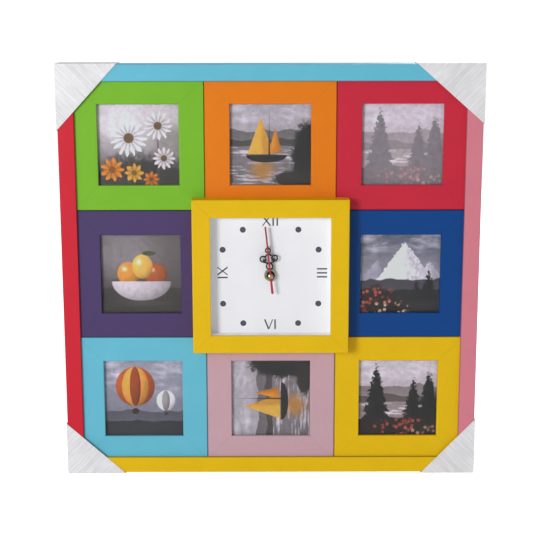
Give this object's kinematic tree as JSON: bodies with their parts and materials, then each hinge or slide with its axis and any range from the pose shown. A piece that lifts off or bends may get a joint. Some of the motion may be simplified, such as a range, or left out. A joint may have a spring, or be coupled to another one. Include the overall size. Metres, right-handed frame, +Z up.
{
  "type": "photo frame clock",
  "caption": "Square collage wall clock: mitred photo frames in colours round a raised clock frame with dial, hands and quartz movement; turn-button backs and card corner protectors.",
  "frame": {"origin": "midpoint between the two keyhole centres, on the wall plane", "axes": "+Z up, +Y into the wall, the front faces -Y, +X to the viewer's right"},
  "size_m": [0.4188, 0.0433, 0.4187],
  "materials": {
    "foil_green": "satin colour foil on fibreboard",
    "foil_orange": "satin colour foil on fibreboard",
    "foil_crimson": "satin colour foil on fibreboard",
    "foil_purple": "satin colour foil on fibreboard",
    "foil_blue": "satin colour foil on fibreboard",
    "foil_aqua": "satin colour foil on fibreboard",
    "foil_rose": "satin colour foil on fibreboard",
    "foil_yellow": "satin colour foil on fibreboard",
    "foil_red": "satin colour foil on fibreboard",
    "foil_pink": "satin colour foil on fibreboard",
    "clear_pane": "clear, polished",
    "print_paper": "satin photo paper",
    "hardboard": "raw pressed board",
    "zinc_steel": "bright zinc plate",
    "white_liner": "matt white",
    "dial_card": "matt white card",
    "black_plastic": "fine moulded texture",
    "black_rubber": "matt",
    "brass": "turned, polished",
    "soft_iron": "stamped sheet",
    "copper_wire": "enamelled wire",
    "ferrite": "ground",
    "white_nylon": "moulded",
    "circuit_green": "lacquered",
    "battery_sleeve": "printed sleeve",
    "black_paint": "satin black",
    "red_paint": "satin red",
    "white_card": "matt white card"
  },
  "bodies": {
    "frame": {"backing_boards": "hardboard", "battery_contacts": "zinc_steel", "button_screws": "zinc_steel", "circuit_board": "circuit_green", "clock_frame": "foil_yellow", "coil": "copper_wire", "dial_board": "hardboard", "dial_card": "dial_card", "dial_liner": "white_liner", "fixing_nut": "brass", "frame_aqua": "foil_aqua", "frame_blue": "foil_blue", "frame_crimson": "foil_crimson", "frame_green": "foil_green", "frame_orange": "foil_orange", "frame_purple": "foil_purple", "frame_rose": "foil_rose", "frame_yellow": "foil_yellow", "hanger_plates": "zinc_steel", "movement_case": "black_plastic", "movement_cover": "black_plastic", "outer_rail_bottom": "foil_yellow", "outer_rail_left": "foil_red", "outer_rail_right": "foil_pink", "outer_rail_top": "foil_aqua", "photo_prints": "print_paper", "quartz_crystal": "zinc_steel", "rubber_washer": "black_rubber", "stator": "soft_iron", "window_panes": "clear_pane"},
    "hour": {"hour_wheel": "white_nylon", "hour_hand": "black_paint"},
    "minute": {"minute_arbor": "brass", "minute_hand": "black_paint"},
    "second": {"second_wheel": "white_nylon", "second_hand": "red_paint", "second_cap": "brass"},
    "motion": {"motion_wheel": "white_nylon"},
    "centre": {"centre_wheel": "white_nylon"},
    "third": {"third_wheel": "white_nylon"},
    "intermediate": {"intermediate_wheel": "white_nylon"},
    "rotor": {"rotor": "ferrite"},
    "setting": {"setting_wheel": "white_nylon"},
    "battery": {"battery": "battery_sleeve"},
    "button_green": {"turn_button_green": "zinc_steel"},
    "button_orange": {"turn_button_orange": "zinc_steel"},
    "button_crimson": {"turn_button_crimson": "zinc_steel"},
    "button_purple": {"turn_button_purple": "zinc_steel"},
    "button_blue": {"turn_button_blue": "zinc_steel"},
    "button_aqua": {"turn_button_aqua": "zinc_steel"},
    "button_rose": {"turn_button_rose": "zinc_steel"},
    "button_yellow": {"turn_button_yellow": "zinc_steel"},
    "corner_top_left": {"corner_top_left": "white_card"},
    "corner_top_right": {"corner_top_right": "white_card"},
    "corner_bottom_left": {"corner_bottom_left": "white_card"},
    "corner_bottom_right": {"corner_bottom_right": "white_card"}
  },
  "joints": [
    {"name": "second_spin", "type": "hinge", "parent": "frame", "child": "second", "pos_m": [0, -0.0164, -0.183], "axis": [0, 1, 0], "continuous": true},
    {"name": "minute_spin", "type": "hinge", "parent": "frame", "child": "minute", "pos_m": [0, -0.0218, -0.183], "axis": [0, 1, 0], "continuous": true},
    {"name": "hour_spin", "type": "hinge", "parent": "frame", "child": "hour", "pos_m": [0, -0.0236, -0.183], "axis": [0, 1, 0], "continuous": true},
    {"name": "motion_spin", "type": "hinge", "parent": "frame", "child": "motion", "pos_m": [-0.012, -0.0218, -0.183], "axis": [0, 1, 0], "continuous": true},
    {"name": "setting_spin", "type": "hinge", "parent": "frame", "child": "setting", "pos_m": [-0.02048, -0.0218, -0.17452], "axis": [0, 1, 0], "continuous": true},
    {"name": "centre_spin", "type": "hinge", "parent": "frame", "child": "centre", "pos_m": [0, -0.02, -0.183], "axis": [0, 1, 0], "continuous": true},
    {"name": "third_spin", "type": "hinge", "parent": "frame", "child": "third", "pos_m": [0.0106, -0.0182, -0.17688], "axis": [0, 1, 0], "continuous": true},
    {"name": "intermediate_spin", "type": "hinge", "parent": "frame", "child": "intermediate", "pos_m": [-0.0048, -0.0164, -0.17469], "axis": [0, 1, 0], "continuous": true},
    {"name": "rotor_spin", "type": "hinge", "parent": "frame", "child": "rotor", "pos_m": [-0.00626, -0.0146, -0.16641], "axis": [0, 1, 0], "continuous": true},
    {"name": "button_turn_green", "type": "hinge", "parent": "frame", "child": "button_green", "pos_m": [-0.13, -0.0185, 0.00243], "axis": [0, 1, 0], "range_deg": [-90, 90]},
    {"name": "button_turn_orange", "type": "hinge", "parent": "frame", "child": "button_orange", "pos_m": [0, -0.0185, 0.00243], "axis": [0, 1, 0], "range_deg": [-90, 90]},
    {"name": "button_turn_crimson", "type": "hinge", "parent": "frame", "child": "button_crimson", "pos_m": [0.13, -0.0185, 0.00243], "axis": [0, 1, 0], "range_deg": [-90, 90]},
    {"name": "button_turn_purple", "type": "hinge", "parent": "frame", "child": "button_purple", "pos_m": [-0.13, -0.0185, -0.12757], "axis": [0, 1, 0], "range_deg": [-90, 90]},
    {"name": "button_turn_blue", "type": "hinge", "parent": "frame", "child": "button_blue", "pos_m": [0.13, -0.0185, -0.12757], "axis": [0, 1, 0], "range_deg": [-90, 90]},
    {"name": "button_turn_aqua", "type": "hinge", "parent": "frame", "child": "button_aqua", "pos_m": [-0.13, -0.0185, -0.25757], "axis": [0, 1, 0], "range_deg": [-90, 90]},
    {"name": "button_turn_rose", "type": "hinge", "parent": "frame", "child": "button_rose", "pos_m": [0, -0.0185, -0.25757], "axis": [0, 1, 0], "range_deg": [-90, 90]},
    {"name": "button_turn_yellow", "type": "hinge", "parent": "frame", "child": "button_yellow", "pos_m": [0.13, -0.0185, -0.25757], "axis": [0, 1, 0], "range_deg": [-90, 90]},
    {"name": "corner_slide_top_left", "type": "slide", "parent": "frame", "child": "corner_top_left", "axis": [-0.7071, 0, 0.7071], "range_m": [0, 0.07]},
    {"name": "corner_slide_top_right", "type": "slide", "parent": "frame", "child": "corner_top_right", "axis": [0.7071, 0, 0.7071], "range_m": [0, 0.07]},
    {"name": "corner_slide_bottom_left", "type": "slide", "parent": "frame", "child": "corner_bottom_left", "axis": [-0.7071, 0, -0.7071], "range_m": [0, 0.07]},
    {"name": "corner_slide_bottom_right", "type": "slide", "parent": "frame", "child": "corner_bottom_right", "axis": [0.7071, 0, -0.7071], "range_m": [0, 0.07]},
    {"name": "battery_lift", "type": "slide", "parent": "frame", "child": "battery", "axis": [0, 1, 0], "range_m": [0, 0.02]}
  ],
  "couplings": [
    {"joint": "intermediate_spin", "follows": "second_spin", "ratio": -5},
    {"joint": "rotor_spin", "follows": "second_spin", "ratio": 30},
    {"joint": "third_spin", "follows": "second_spin", "ratio": -0.13333},
    {"joint": "centre_spin", "follows": "second_spin", "ratio": 0.016667},
    {"joint": "motion_spin", "follows": "minute_spin", "ratio": -0.33333},
    {"joint": "hour_spin", "follows": "minute_spin", "ratio": 0.083333},
    {"joint": "setting_spin", "follows": "minute_spin", "ratio": 1}
  ]
}
